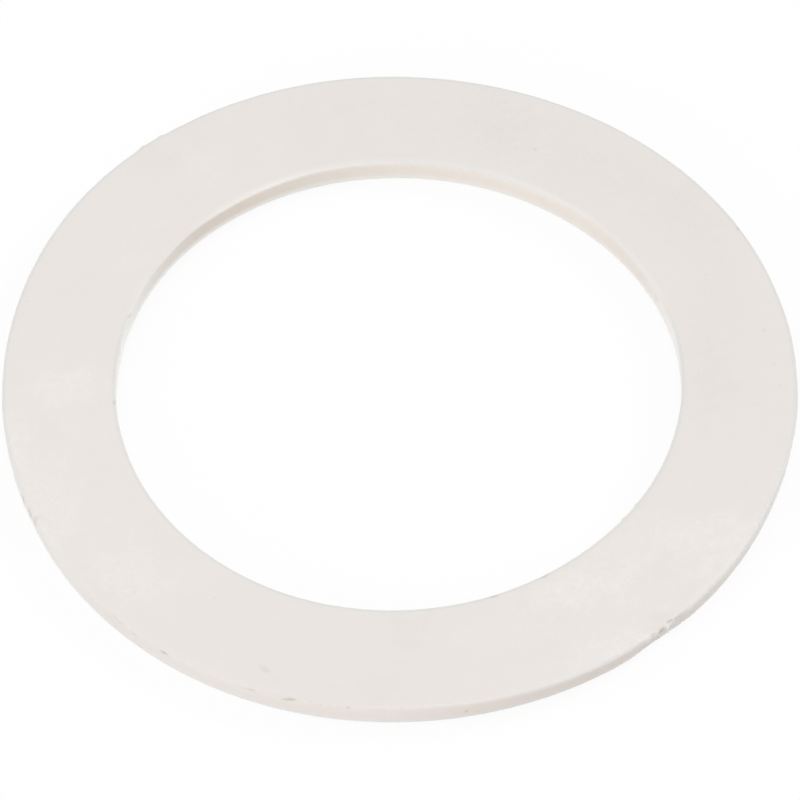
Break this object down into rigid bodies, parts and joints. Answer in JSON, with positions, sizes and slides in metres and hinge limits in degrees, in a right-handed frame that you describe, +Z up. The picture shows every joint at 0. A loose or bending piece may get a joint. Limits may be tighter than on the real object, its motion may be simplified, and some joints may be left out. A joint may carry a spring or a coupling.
{
  "type": "flat gasket",
  "caption": "Flat ring gasket in soft off-white silicone, with a wide sealing band, a large hole and rounded edges, for sealing a joint between flat faces.",
  "frame": {"origin": "centre of the hole at the lower face, the face that the ring lies on", "axes": "+Z up along the axis of the hole; the ring is round, so +X and +Y only place its nicks, with +X to the right of the picture and +Y away from its camera"},
  "size_m": [0.07, 0.07, 0.002],
  "materials": {
    "silicone": "matte, slightly translucent off-white silicone with faint cloudy mottling"
  },
  "bodies": {
    "root": {"gasket": "silicone"}
  },
  "joints": []
}
